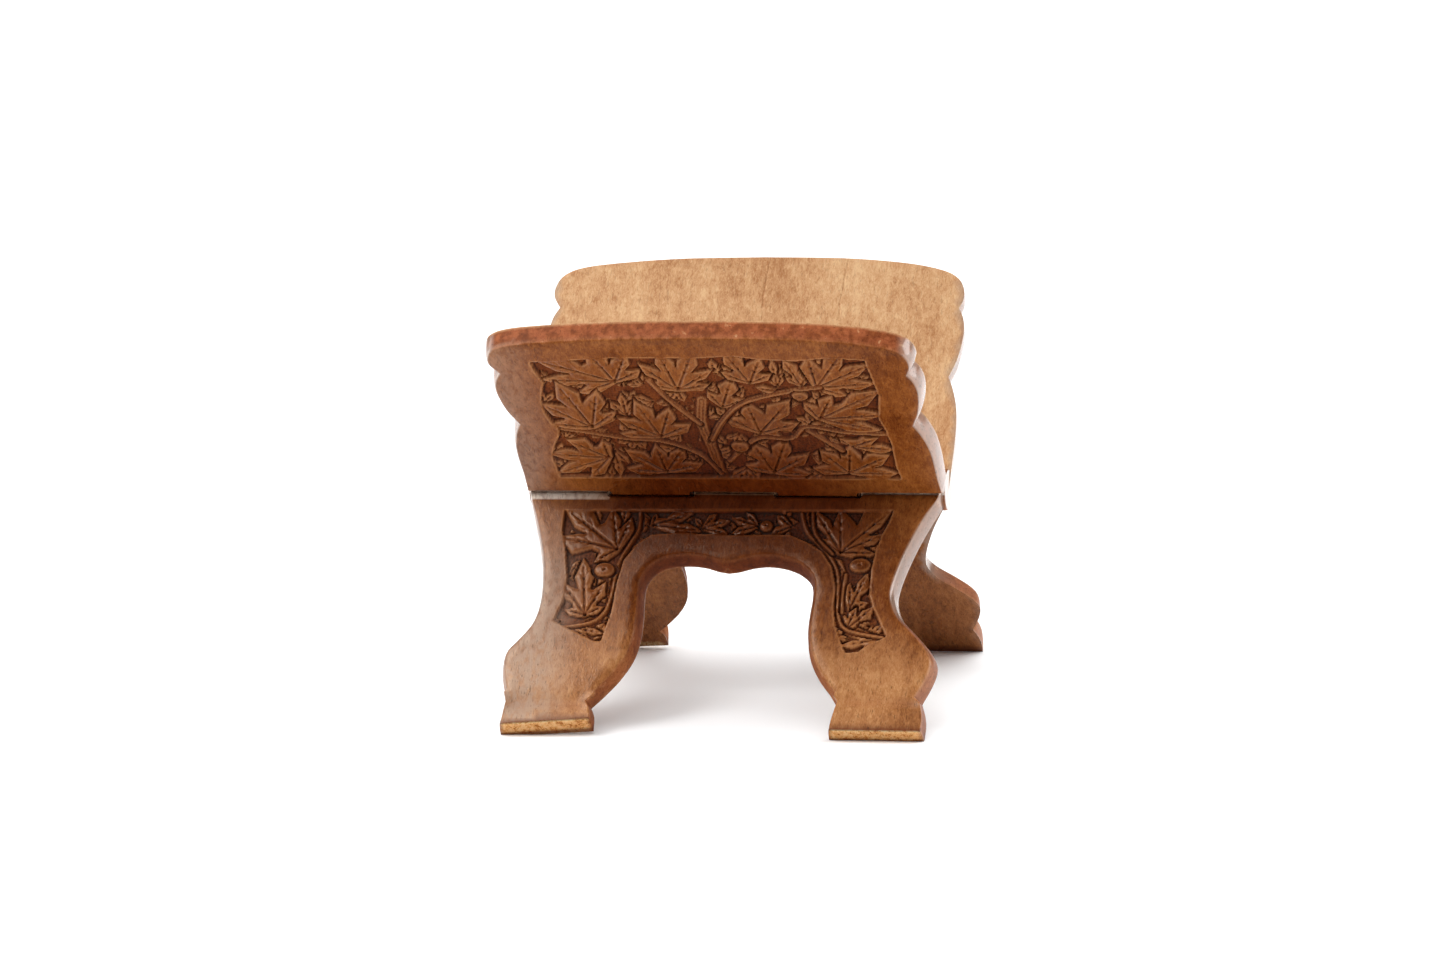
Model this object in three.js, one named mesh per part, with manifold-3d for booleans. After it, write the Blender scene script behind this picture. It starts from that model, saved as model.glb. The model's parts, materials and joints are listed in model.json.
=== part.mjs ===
// Folding book stand (rehal): two carved leaves sawn from one plank, held together by the wooden
// knuckles left between them. Millimetres, +Z up, origin on the ground under the middle of the
// opened stand, X along the hinge, -Y towards the reader's side with the carved panel.
import * as THREE from 'three';
import { mergeVertices } from 'three/addons/utils/BufferGeometryUtils.js';
import Module from 'manifold-3d';

// Driving dimensions
const PLANK_THICKNESS = 19.7;
const SAW_KERF = 1.0;                             // wood lost where the plank is sawn into leaves
const HALF_OPENING = THREE.MathUtils.degToRad(39.3); // each leaf from the vertical, at the stop
const HINGE_HALF_WIDTH = 101;
const FOOT_END = 131.5;                           // hinge axis to the end of a leg, along the leaf
const KNUCKLES = 5;
const SIDE_GAP = 0.4;                             // sawn gap between neighbouring knuckles
const ROUND_GAP = 0.4;                            // knuckle to the hollow that turns around it
const STOP_GAP = 0.3;                             // between the mitred edges at the open stop
const SEAM_STEP = 1.2;                            // a knuckle's own leaf passes the mitre by this
const START_HOLE_RADIUS = 1.1;                    // drilled where the saw cuts of a knuckle start
const FOOT_FLAT = 2.5;                            // width of the flat worn under each foot
const CURVE_STEPS = 3;                            // straight pieces per outline point
const KNUCKLE_FACETS = 48;
const HOLE_FACETS = 12;
const END_CLEARANCE = 1;                          // a cutter passes the ends of the hinge by this
const SEAM_OVERCUT = 0.0002;                      // so that neighbouring seam cuts overlap
const REACH = 400;                                // longer than any side of the stand
const VARNISH_ROUGHNESS = 0.45;
const REAR_BOARD_COLOR = '#a9713f';
const FRONT_BOARD_COLOR = '#8f5a30';

const LEAF_FACE = PLANK_THICKNESS / 2;            // outer face of a leaf from the hinge axis
const LEAF_BACK = SAW_KERF / 2;                   // inner face of a leaf from the hinge axis
const KNUCKLE_PITCH = 2 * HINGE_HALF_WIDTH / KNUCKLES;
const FOOT_CUT = FOOT_FLAT * Math.sin(HALF_OPENING) * Math.cos(HALF_OPENING);
const HINGE_HEIGHT = FOOT_END * Math.cos(HALF_OPENING)
  - LEAF_BACK * Math.sin(HALF_OPENING) - FOOT_CUT;

// Outlines of the flat plank, as [across, along from the hinge axis]. Each list is one smooth
// stretch, and the stretches meet in the sharp notches between the lobes.
const RIGHT_REST_SIDE = [
  [[HINGE_HALF_WIDTH, 0], [101.9, 26], [101.3, 42], [98.9, 53], [95.9, 60.5]],
  [[95.9, 60.5], [99.4, 70], [101.4, 83], [100.6, 92], [98, 97.6]],
  [[98, 97.6], [99.9, 103], [99.3, 109.3], [95.6, 114.8], [87.5, 118.9], [70, 122.6], [40, 125.3],
    [0, 126]],
];
const LEFT_REST_SIDE = [
  [[-HINGE_HALF_WIDTH, 0], [-102.3, 26], [-102.1, 42], [-100, 53], [-97, 60.5]],
  [[-97, 60.5], [-101, 70], [-103.3, 83], [-102.4, 92], [-99.4, 98.2]],
  [[-99.4, 98.2], [-102.8, 104], [-102.7, 110], [-99.2, 116], [-90, 120.3], [-70, 123.1],
    [-40, 125.3], [0, 126]],
];
const RIGHT_LEG = [
  [[HINGE_HALF_WIDTH, 0], [99.3, -10], [95, -19], [89.8, -31], [85.3, -44], [82.6, -55],
    [82.7, -62], [86.5, -70.5], [94.5, -79], [101.2, -87], [104, -94], [102.5, -102],
    [98.2, -112]],
  [[98.2, -112], [100.3, -118.5], [101, -124], [100.7, -FOOT_END]],
  [[100.7, -FOOT_END], [56, -FOOT_END]],
  [[56, -FOOT_END], [56.6, -124], [58.6, -115]],
  [[58.6, -115], [54.5, -108.5], [48.4, -100.5], [43.9, -92], [41.7, -84], [40.8, -74],
    [41.4, -62], [41.2, -55], [39.5, -50.3], [34.5, -46], [28, -43.3], [20, -42], [12, -42.7],
    [5, -44.7], [0, -45.5]],
];
const LEFT_LEG = [
  [[-HINGE_HALF_WIDTH, 0], [-100.3, -10], [-97.5, -21], [-94, -33], [-91.2, -45], [-90, -57],
    [-90.2, -67], [-92.5, -75.5], [-98, -83.5], [-102.7, -89.5], [-104, -96], [-103.3, -104],
    [-99.8, -117]],
  [[-99.8, -117], [-100.4, -122], [-101.3, -FOOT_END]],
  [[-101.3, -FOOT_END], [-57, -128]],
  [[-57, -128], [-57.4, -121], [-59.3, -116.5]],
  [[-59.3, -116.5], [-53, -109.5], [-46.5, -101], [-41.5, -91.5], [-39.3, -82], [-38.9, -72],
    [-39.5, -60], [-39.2, -53.5], [-37.2, -48.7], [-33, -45], [-28, -43], [-20, -42],
    [-12, -42.7], [-5, -44.7], [0, -45.5]],
];

const wasm = await Module();
wasm.setup();

function solid(geometry) {
  geometry.deleteAttribute('normal');
  geometry.deleteAttribute('uv');
  const merged = mergeVertices(geometry);
  const mesh = new wasm.Mesh({
    numProp: 3,
    vertProperties: Float32Array.from(merged.attributes.position.array),
    triVerts: Uint32Array.from(merged.index.array),
  });
  return new wasm.Manifold(mesh);
}

function geometryOf(body) {
  const mesh = body.getMesh();
  const geometry = new THREE.BufferGeometry();
  geometry.setAttribute('position', new THREE.BufferAttribute(mesh.vertProperties, 3));
  geometry.setIndex(new THREE.BufferAttribute(mesh.triVerts, 1));
  return geometry;
}

function box(xLow, xHigh, yLow, yHigh, zLow, zHigh) {
  const geometry = new THREE.BoxGeometry(xHigh - xLow, yHigh - yLow, zHigh - zLow);
  geometry.translate((xLow + xHigh) / 2, (yLow + yHigh) / 2, (zLow + zHigh) / 2);
  return solid(geometry);
}

// A round bar about the hinge axis, from xLow to xHigh.
function hingeBar(radius, xLow, xHigh) {
  const geometry = new THREE.CylinderGeometry(radius, radius, xHigh - xLow, KNUCKLE_FACETS);
  geometry.rotateZ(Math.PI / 2);
  geometry.translate((xLow + xHigh) / 2, 0, 0);
  return solid(geometry);
}

// Closed outline that follows the right-hand stretches out and the left-hand ones back.
function outline(right, left) {
  const back = left.map((stretch) => stretch.slice().reverse()).reverse();
  const stretches = right.concat(back);
  const shape = new THREE.Shape();
  shape.moveTo(...stretches[0][0]);
  for (const stretch of stretches) {
    shape.splineThru(stretch.slice(1).map(([across, along]) => new THREE.Vector2(across, along)));
  }
  shape.closePath();
  return shape;
}

// Half of the plank, on the front (side -1) or rear (side 1) of the saw cut, swung open.
function slab(shape, side, swing) {
  const depth = LEAF_FACE - LEAF_BACK;
  const geometry = new THREE.ExtrudeGeometry(shape, {
    depth,
    bevelEnabled: false,
    curveSegments: CURVE_STEPS,
  });
  geometry.rotateX(Math.PI / 2);
  geometry.translate(0, side < 0 ? -LEAF_BACK : LEAF_FACE, 0);
  geometry.rotateX(swing);
  return solid(geometry);
}

function knuckleSpan(index) {
  const low = -HINGE_HALF_WIDTH + index * KNUCKLE_PITCH;
  return [low, low + KNUCKLE_PITCH];
}

// Grows (gap > 0) or shrinks (gap < 0) a knuckle's span at its inner ends only.
function widened([low, high], gap) {
  const atLeftEnd = low <= -HINGE_HALF_WIDTH;
  const atRightEnd = high >= HINGE_HALF_WIDTH;
  const leftEnd = gap > 0 ? low - END_CLEARANCE : low;
  const rightEnd = gap > 0 ? high + END_CLEARANCE : high;
  return [atLeftEnd ? leftEnd : low - gap, atRightEnd ? rightEnd : high + gap];
}

// The drilled start holes show as small round nicks where a knuckle boundary meets the seam.
function startHoles() {
  let holes = null;
  for (let index = 1; index < KNUCKLES; index += 1) {
    const geometry = new THREE.CylinderGeometry(
      START_HOLE_RADIUS, START_HOLE_RADIUS, REACH, HOLE_FACETS);
    geometry.translate(knuckleSpan(index)[0], 0, 0);
    const hole = solid(geometry);
    holes = holes ? holes.add(hole) : hole;
  }
  const core = hingeBar(LEAF_FACE + ROUND_GAP, -REACH / 2, REACH / 2);
  return holes.subtract(core);
}

// One leaf in the opened stand, hinge axis at z = 0. Its book rest is on the side given by front
// (-1 or 1), its legs are on the other side, and it owns every second knuckle.
function leaf(front, firstKnuckle) {
  const swing = -front * HALF_OPENING;
  const bookRest = outline(RIGHT_REST_SIDE, LEFT_REST_SIDE);
  const legs = outline(RIGHT_LEG, LEFT_LEG);
  let rest = slab(bookRest, front, swing);
  let stand = slab(legs, -front, swing);
  let knuckles = null;
  for (let index = 0; index < KNUCKLES; index += 1) {
    const own = index % 2 === firstKnuckle;
    const step = own ? SEAM_STEP : -SEAM_STEP;
    const [low, high] = widened(knuckleSpan(index), own ? -SIDE_GAP / 2 : SIDE_GAP / 2);
    const [cutLow, cutHigh] = widened(knuckleSpan(index), own ? SEAM_OVERCUT : SIDE_GAP / 2);
    const restEdge = -step + STOP_GAP / 2;
    const standEdge = step - STOP_GAP / 2;
    rest = rest.subtract(box(cutLow, cutHigh, -REACH, REACH, -REACH, restEdge));
    stand = stand.subtract(box(cutLow, cutHigh, -REACH, REACH, standEdge, REACH));
    if (own) {
      const bar = hingeBar(LEAF_FACE, low, high);
      knuckles = knuckles ? knuckles.add(bar) : bar;
    } else {
      const hollow = hingeBar(LEAF_FACE + ROUND_GAP, low, high);
      rest = rest.subtract(hollow);
      stand = stand.subtract(hollow);
    }
  }
  const ground = box(-REACH, REACH, -REACH, REACH, -REACH, -HINGE_HEIGHT);
  return rest.add(stand).add(knuckles).subtract(startHoles()).subtract(ground);
}

function wood(color) {
  return new THREE.MeshStandardMaterial({ color, roughness: VARNISH_ROUGHNESS, metalness: 0 });
}

function node(name, body, color) {
  const mesh = new THREE.Mesh(geometryOf(body), wood(color));
  mesh.name = name;
  mesh.position.z = HINGE_HEIGHT;
  return mesh;
}

const stand = new THREE.Group();
stand.add(node('three_knuckle_board', leaf(1, 0), REAR_BOARD_COLOR));
stand.add(node('two_knuckle_board', leaf(-1, 1), FRONT_BOARD_COLOR));

export default stand;
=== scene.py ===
import json
import math

import bmesh
import bpy
import numpy as np
from mathutils import Matrix, Vector
from mathutils.geometry import delaunay_2d_cdt


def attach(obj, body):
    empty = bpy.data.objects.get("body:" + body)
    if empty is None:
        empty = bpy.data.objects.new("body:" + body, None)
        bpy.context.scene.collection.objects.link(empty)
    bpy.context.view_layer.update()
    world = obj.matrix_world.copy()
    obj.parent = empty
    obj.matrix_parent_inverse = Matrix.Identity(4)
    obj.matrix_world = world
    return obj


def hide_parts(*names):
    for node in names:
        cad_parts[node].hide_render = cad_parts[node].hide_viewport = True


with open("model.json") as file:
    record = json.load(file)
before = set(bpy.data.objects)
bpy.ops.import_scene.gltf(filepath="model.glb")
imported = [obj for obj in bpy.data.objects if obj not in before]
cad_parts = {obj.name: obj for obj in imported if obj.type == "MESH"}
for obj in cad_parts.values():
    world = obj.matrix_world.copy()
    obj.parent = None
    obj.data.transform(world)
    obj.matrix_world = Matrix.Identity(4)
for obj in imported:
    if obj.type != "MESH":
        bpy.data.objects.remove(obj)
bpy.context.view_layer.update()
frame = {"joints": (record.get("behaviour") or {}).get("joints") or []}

# Folding wooden book stand. Shapes are worked out in millimetres on the flat plank, as
# x across, s along the plank from the hinge axis and n out from the saw cut to the carved face,
# then swung open about the hinge.
MM = 0.001
FOLD = frame["joints"][0]
HINGE = np.array(FOLD["pos_m"]) / MM
HALF_OPENING = math.radians(FOLD["range_deg"][1] / 2)
FACE = 9.85  # outer face of a leaf from the hinge axis
BACK = 0.5  # inner face of a leaf from the hinge axis
HALF_WIDTH = 101.0  # at the hinge
FOOT_END = 131.5
KNUCKLES = 5
PITCH = 2 * HALF_WIDTH / KNUCKLES
SIDE_GAP = 0.4  # between neighbouring knuckles
ROUND_GAP = 0.4  # knuckle to the hollow that turns around it
STOP_GAP = 0.3  # between the mitred edges at the open stop
SEAM_STEP = 1.2  # a knuckle's own leaf passes the mitre by this
START_HOLE_RADIUS = 1.4
KNUCKLE_CHAMFER = 0.45
SEAM = FACE * math.tan(HALF_OPENING)  # mitred edge of an outer face, from the hinge axis
STEP_ON_FACE = SEAM_STEP / math.cos(HALF_OPENING)

# Cutters
END_CLEARANCE = 1.0  # a cutter passes the ends of the hinge by this
SEAM_OVERCUT = 0.0002  # so that neighbouring seam cuts overlap
CUT_REACH = 60.0  # past the faces of a leaf all round the hinge
FAR = 400.0  # longer than any side of the stand
BAR_FACETS = 96
HOLE_FACETS = 20

# Meshes of the faces
FINE = 0.52  # grid of the carved faces
COARSE = 3.5  # grid of the plain faces
OUTLINE_STEP = 1.3  # between the points of an outline
HINGE_LINE_POINTS = 41
CORNER_CLEAR = 1.9  # no outline points nearer a sharp corner than this
LOOP_CLEAR = 1.5  # no fine cells nearer the outline than this
FIELD_MARGIN = 1.2  # fine cells reach past a carved field by this
SHARPEST_COSINE = 0.62  # limits how far a corner moves when an outline shrinks
SHARP_ANGLE = math.radians(38)
# The side of a fine cell as the step to the next cell and the two corners on it.
CELL_SIDES = [(-1, 0, (0, 0), (0, 1)), (1, 0, (1, 0), (1, 1)),
              (0, -1, (0, 0), (1, 0)), (0, 1, (0, 1), (1, 1))]

# Sides and feet
PROFILE = [(0.0, 0.0), (0.18, 0.05), (0.36, 0.13), (0.54, 0.24), (0.70, 0.38), (0.83, 0.54),
           (0.92, 0.70), (0.975, 0.85), (1.0, 1.0)]  # rise and inset, as shares of the whole
FRONT_REST_SLOPE = 2.7  # how far an outer face stands back from the outline
REAR_REST_SLOPE = 1.0
LEG_SLOPE = 3.3
TOE_SLOPE = 1.1
HINGE_SLOPE = 0.7
TOE_TOP = -112
LEFT_FOOT = (-101.3, 44.3, 3.5)  # outer corner, width and how much the end is cut askew
FOOT_BEVELS = (2.4, 3.0)  # right, left
BEVEL_LENGTH = 6
ANKLE_LINES = (-114.6, -118.4)  # right, left
ANKLE_WIDTHS = (4.5, 1.6)  # above and below the line
ANKLE_DEPTH = 1.25
# How an outer face is eased at the seam: by how much, and from how far in.
REST_EASING = (0.6, 1.2)
LEG_EASING = (2.0, 4.2)
NEIGHBOUR_EASING = (0.35, 0.9)
UNEVENNESS = 0.05

# Carving
FRONT_SEED = 11
REAR_SEED = 47
GROUND = 2.3  # depth of the carved ground under the face
WALL = 0.6  # width of the slope at the edge of what stands up
CUT_WIDTH = 0.8  # of the clean cut round a leaf
PIT_PITCH = 1.75  # of the dots punched in the ground
PIT_DEPTH = 0.42
PIT_RADIUS = 0.75
LEAFLET_PITCH = 12.0
LEAFLET_TURNS = (-0.75, 0, 0.75)
CRACK_DEPTH = 0.5
CRACK_WIDTH = 0.55

# A leaf's outline, as shares of the length of each vein. The shoulders of a lobe are given as
# the way along its vein and the share of its half width there.
LOBE_SHOULDERS = [(0.72, 0.64), (0.90, 0.34)]
LOBE_TIP = 1.10
LOBE_SPREAD = 0.5  # widest half width
STALK_SPREAD = 0.42  # half width beside the stalk
SLIT_END = 0.60  # inner end of the slit between two lobes
LEAF_BASE = 0.12
VEIN_END = 0.90
VEIN_DEPTH = 0.95
VEIN_WIDTH = 0.95
SIDE_VEIN_STARTS = (0.46, 0.66)
SIDE_VEIN_LENGTH = 0.20
SIDE_VEIN_TURN = math.radians(32)
SIDE_VEIN_DEPTH = 0.42
SIDE_VEIN_WIDTH = 0.7

# Wear along the seam: how wide the pale band is at the knuckles that have one.
RUBBED_BANDS = {0: 5.0, 2: 1.9, 4: 1.0}

# Wood colours from the dark to the light figure, as (figure, linear colour).
VARNISHED = [(0.39, (0.088, 0.019, 0.0025)), (0.50, (0.172, 0.046, 0.0080)),
             (0.61, (0.258, 0.084, 0.019))]
LIT_LOWER_LEGS = [(0.39, (0.225, 0.083, 0.026)), (0.50, (0.370, 0.155, 0.054)),
           (0.61, (0.480, 0.235, 0.095))]
BARE = [(0.39, (0.320, 0.145, 0.060)), (0.50, (0.455, 0.255, 0.124)),
        (0.61, (0.560, 0.360, 0.195))]
RUBBED = [(0.39, (0.310, 0.098, 0.038)), (0.61, (0.470, 0.182, 0.080))]
# The raw end grain of the feet, made brighter than the wood itself: painted light standing in for the
# light bounced up from the floor.
END_GRAIN_WITH_PAINTED_LIGHT = [(0.40, (0.450, 0.180, 0.055)), (0.48, (0.880, 0.560, 0.220)),
             (0.58, (0.970, 0.770, 0.430))]
# What lies over the varnish, in order: its mask, the share of the mask that shows (a number, or a
# noise with its low and high limits and the share at each), its colour and how it is laid on.
LAYERS = [
    # painted light: the outer faces of the lower legs grow paler towards the feet, where more light
    # falls
    ("lower_leg_light", ("blotch", 0.35, 0.60, 0.55, 1.0), LIT_LOWER_LEGS, "MIX"),
    ("inner", 1.0, BARE, "MIX"),
    ("edge", ("wear", 0.40, 0.62, 0.25, 0.90), RUBBED, "MIX"),
    ("edge", ("wear", 0.66, 0.74, 0.0, 1.0), (0.58, 0.35, 0.19, 1), "MIX"),
    ("end_grain", 1.0, END_GRAIN_WITH_PAINTED_LIGHT, "MIX"),
    ("rubbed_seam", ("mottle", 0.3, 0.6, 0.5, 1.0), (0.72, 0.63, 0.54, 1), "MIX"),
    # dark varnish and painted shade on the carved ground, deeper ground darker
    ("recess", 0.8, (0.62, 0.40, 0.28, 1), "MULTIPLY"),
    # rubbed wear and a painted highlight: the ridges of the carving are coloured paler, as where they
    # catch the light
    ("rim", 0.55, (0.390, 0.170, 0.065, 1), "MIX"),
    # dark varnish and painted shade in the cuts, found like ambient occlusion from how far a point
    # lies below its neighbours
    ("crevice", ("wear", 0.36, 0.60, 0.40, 0.95), (0.20, 0.12, 0.09, 1), "MULTIPLY"),
    # painted sheen: the left side of the outer faces is greyed pale, as if lit by a light on the left
    ("painted_left_sheen", ("mottle", 0.3, 0.6, 0.35, 0.75), (0.310, 0.220, 0.165, 1), "MIX"),
    ("toe_rim", 0.85, (0.110, 0.025, 0.008, 1), "MIX"),
    ("valley", 1.0, (0.41, 0.24, 0.15, 1), "MULTIPLY"),
    # painted sheen: the outer sides are mixed towards a pale grey, and they also get a gloss coat
    ("glaze_and_painted_sheen", 0.5, (0.290, 0.220, 0.170, 1), "MIX"),
]

# Camera, from the middle of the hinge
CAMERA_LENS = 141.4
CAMERA_DISTANCE = 2.706
CAMERA_TURN = math.radians(12.44)
CAMERA_HEIGHT = math.radians(12.51)
CAMERA_ROLL = math.radians(-2.38)
CAMERA_SLIDE = (-0.0081, 0.0033)

# Outlines of the plank, one list per smooth stretch, meeting in the notches.
REST_RIGHT = [
    [(101, 0), (101.9, 26), (101.3, 42), (98.9, 53), (95.9, 60.5)],
    [(95.9, 60.5), (99.4, 70), (101.4, 83), (100.6, 92), (98, 97.6)],
    [(98, 97.6), (99.9, 103), (99.3, 109.3), (95.6, 114.8), (87.5, 118.9), (70, 122.6),
     (40, 125.3), (0, 126)],
]
REST_LEFT = [
    [(-101, 0), (-102.3, 26), (-102.1, 42), (-100, 53), (-97, 60.5)],
    [(-97, 60.5), (-101, 70), (-103.3, 83), (-102.4, 92), (-99.4, 98.2)],
    [(-99.4, 98.2), (-102.8, 104), (-102.7, 110), (-99.2, 116), (-90, 120.3), (-70, 123.1),
     (-40, 125.3), (0, 126)],
]
RIGHT_LEG = [
    [(101, 0), (99.3, -10), (95, -19), (89.8, -31), (85.3, -44), (82.6, -55), (82.7, -62),
     (86.5, -70.5), (94.5, -79), (101.2, -87), (104, -94), (102.5, -102), (98.2, -112)],
    [(98.2, -112), (100.3, -118.5), (101, -124), (100.7, -FOOT_END)],
    [(100.7, -FOOT_END), (56, -FOOT_END)],
    [(56, -FOOT_END), (56.6, -124), (58.6, -115)],
    [(58.6, -115), (54.5, -108.5), (48.4, -100.5), (43.9, -92), (41.7, -84), (40.8, -74),
     (41.4, -62), (41.2, -55), (39.5, -50.3), (34.5, -46), (28, -43.3), (20, -42), (12, -42.7),
     (5, -44.7), (0, -45.5)],
]
LEFT_LEG = [
    [(-101, 0), (-100.3, -10), (-97.5, -21), (-94, -33), (-91.2, -45), (-90, -57), (-90.2, -67),
     (-92.5, -75.5), (-98, -83.5), (-102.7, -89.5), (-104, -96), (-103.3, -104), (-99.8, -117)],
    [(-99.8, -117), (-100.4, -122), (-101.3, -FOOT_END)],
    [(-101.3, -FOOT_END), (-57, -128)],
    [(-57, -128), (-57.4, -121), (-59.3, -116.5)],
    [(-59.3, -116.5), (-53, -109.5), (-46.5, -101), (-41.5, -91.5), (-39.3, -82), (-38.9, -72),
     (-39.5, -60), (-39.2, -53.5), (-37.2, -48.7), (-33, -45), (-28, -43), (-20, -42),
     (-12, -42.7), (-5, -44.7), (0, -45.5)],
]

# Carved fields: the recess that the leaves stand in.
REST_FIELD = [
    (-82.5, 20.5), (-83.5, 37), (-80, 46), (-77, 52), (-76.5, 58), (-79, 62), (-81, 70),
    (-81, 78), (-77.3, 92), (-80, 100), (-81, 107), (-60, 108.5), (-40, 110), (0, 110),
    (16, 111.5), (28, 109), (45, 108), (60, 110), (77.5, 108.5), (78.5, 98), (80.5, 83),
    (79, 73), (78, 65), (80, 57), (81.5, 45), (81, 30), (82.5, 20.5),
]
LEG_FIELD = [
    (-82, -17), (77.5, -16), (76, -22), (73.5, -28), (71, -37), (69.8, -46), (70, -60),
    (72.3, -66.5), (80, -81.7), (73, -85), (67, -89.5), (61, -90), (57.5, -83), (54.5, -75),
    (53.5, -68), (53, -55), (50.3, -45), (45, -37.5), (37, -32.5), (29, -29), (0, -29.5),
    (-25, -28.5), (-38, -29.5), (-44, -34), (-50, -43), (-52, -55), (-53, -70), (-56.5, -85.5),
    (-60, -85.5), (-76, -77.8), (-81, -75.2), (-77.5, -65), (-76.7, -52), (-79.5, -36),
    (-82, -27),
]

# Vine leaves: where the veins meet, then the tips of the lobes in order round the leaf.
REST_LEAVES = [
    ((-42, 66), [(-48, 76), (-42, 81.5), (-37, 77)]),
    ((-14, 38), [(-32, 43.5), (-24, 47), (-17, 44)]),
    ((-52.5, 39), [(-58, 28), (-53, 21), (-47.5, 30)]),
    ((33.5, 88), [(29.5, 98), (33.5, 107), (37, 97)]),
    ((45, 89), [(38.5, 95), (39.5, 107.5), (51, 104)]),
    ((5, 73), [(0, 84), (12, 92.5), (16, 79)]),
    ((62, 44), [(57, 49.5), (75, 50), (81, 42)]),
    ((-43, 92), [(-61, 84), (-76.5, 93.5), (-78, 108), (-52, 113), (-35, 111), (-30, 100)]),
    ((-60, 58), [(-78.5, 60.5), (-81, 75), (-71, 90), (-53.5, 84), (-47.5, 69)]),
    ((-28, 51), [(-46.5, 53), (-46, 64), (-36, 76), (-21, 71), (-13, 60)]),
    ((-56, 35), [(-67, 21), (-82, 23.5), (-84, 37.5), (-73.5, 47.5), (-57, 47)]),
    ((-30, 24), [(-48, 26), (-46.5, 40), (-32, 43), (-19.5, 41.5), (-12.5, 30)]),
    ((-14, 86), [(-28, 91), (-29, 104), (-19, 113), (-3, 113), (4, 100), (1, 90)]),
    ((21, 91), [(9, 98.5), (12.5, 112.5), (28, 108), (31.5, 97)]),
    ((52, 88), [(51, 108.5), (67, 112.5), (78, 104), (79, 91), (65, 82)]),
    ((50, 65), [(44.5, 76), (57.5, 80.5), (79.5, 84.5), (80, 68), (76, 57)]),
    ((20, 54), [(5.5, 65.5), (17, 75), (36.5, 76.5), (38.5, 61), (30, 50)]),
    ((22, 24), [(9.5, 29), (15.5, 45), (31, 48), (39.5, 37), (38.5, 23)]),
    ((58, 24), [(42, 27), (47, 40), (61, 43), (78, 37), (80, 24)]),
]
REST_STEMS = [
    ([(-4, 18), (-5, 40), (-7, 60), (-4, 78)], 6.0),
    ([(-8, 60), (-19, 76), (-27, 92)], 3.4),
    ([(-79, 56.5), (-62, 53), (-45, 48.5), (-28, 46.5), (-12, 37), (-4, 22)], 3.0),
    ([(-4, 48), (4, 63), (16, 76), (40, 84.5), (53, 87)], 3.4),
    ([(82, 52.5), (60, 54), (43, 58), (34, 49), (18, 49), (2, 32)], 3.0),
    ([(43, 55), (57, 40)], 3.4),
]
LEG_LEAVES = [
    ((-38, -24), [(-37, -18), (-20, -18), (-15, -26.5)]),
    ((-13.5, -25.5), [(-8, -18), (-1.5, -21.5), (-1, -28.5)]),
    ((13, -24), [(7, -17.5), (0.5, -20), (1, -28)]),
    ((29, -24), [(22, -18.5), (20, -28.5)]),
    ((-54, -37), [(-64, -43.5), (-82, -31), (-80.5, -16.5), (-58, -16), (-49, -21)]),
    ((-66, -71.5), [(-75.5, -69), (-78.5, -55), (-69.5, -43.5), (-58, -55), (-57.5, -67)]),
    ((-72, -78), [(-62, -85), (-56.5, -81), (-58.5, -75)]),
    ((54, -37.5), [(42, -30), (40.5, -16.5), (52, -15.5), (76, -16), (74, -28), (70, -38)]),
    ((61, -67.5), [(60, -54), (67.5, -49), (69, -63.5)]),
    ((60.5, -77.5), [(57, -69), (64, -66.5), (72, -66), (67, -77)]),
    ((77, -82.5), [(61, -80), (58.5, -86), (68, -89.5)]),
]
LEG_STEMS = [
    ([(-45, -15), (-44.5, -26), (-48, -34), (-52.5, -45), (-54, -60), (-56.5, -70), (-63, -75.5),
      (-78, -78.5)], 2.7),
    ([(33, -15), (37, -27), (46, -36), (53, -47), (54.7, -60), (56, -71), (61, -78), (80, -82)],
     2.5),
    ([(57.5, -49), (57, -60), (57.5, -69)], 2.0),
    ([(38.5, -15), (41, -28), (50, -38)], 2.2),
]
# Berries: centre x, s and the two half widths.
REST_BERRIES = [(8.5, 43, 4.6, 4.0), (43, 81, 4.2, 3.4)]
LEG_BERRIES = [(-59, -47.8, 5.4, 4.0), (64, -44.3, 5.6, 4.0), (17, -24, 3.4, 3.2)]
# Drying cracks in the plain face of the rear book rest.
CRACKS = [
    [(2.4, 122), (1.6, 113), (1.4, 107), (1.2, 99), (2.2, 88)],
    [(41.5, 123), (40.4, 115.5), (40.1, 108.5), (39.2, 100), (40.0, 92)],
]


# --- small numeric helpers ---

def smooth(value):
    """Eases 0..1 to 0..1, flat at both ends and beyond them."""
    value = np.clip(value, 0, 1)
    return value * value * (3 - 2 * value)


def fade(distance, width):
    """1 where the distance is nothing, easing to 0 at width."""
    return 1 - smooth(distance / width)


def lattice_hash(i, j, seed):
    """Repeatable random numbers from 0 to 1 on an integer lattice."""
    value = np.sin(i * 127.1 + j * 311.7 + seed * 74.7) * 43758.5453
    return value - np.floor(value)


def jitter(cell, draw):
    """A place within a cell, kept off its edges."""
    return cell + 0.2 + 0.6 * draw


def ripple(x, s, size, seed):
    """Smooth random waves between -1 and 1, about size millimetres across."""
    i, j = np.floor(x / size), np.floor(s / size)
    u, v = smooth(x / size - i), smooth(s / size - j)
    low = lattice_hash(i, j, seed) * (1 - u) + lattice_hash(i + 1, j, seed) * u
    high = lattice_hash(i, j + 1, seed) * (1 - u) + lattice_hash(i + 1, j + 1, seed) * u
    return 2 * (low * (1 - v) + high * v) - 1


def planed(x, s, size, seed):
    """The slight unevenness of a face that was planed by hand."""
    return UNEVENNESS * ripple(x, s, size, seed)


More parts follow.
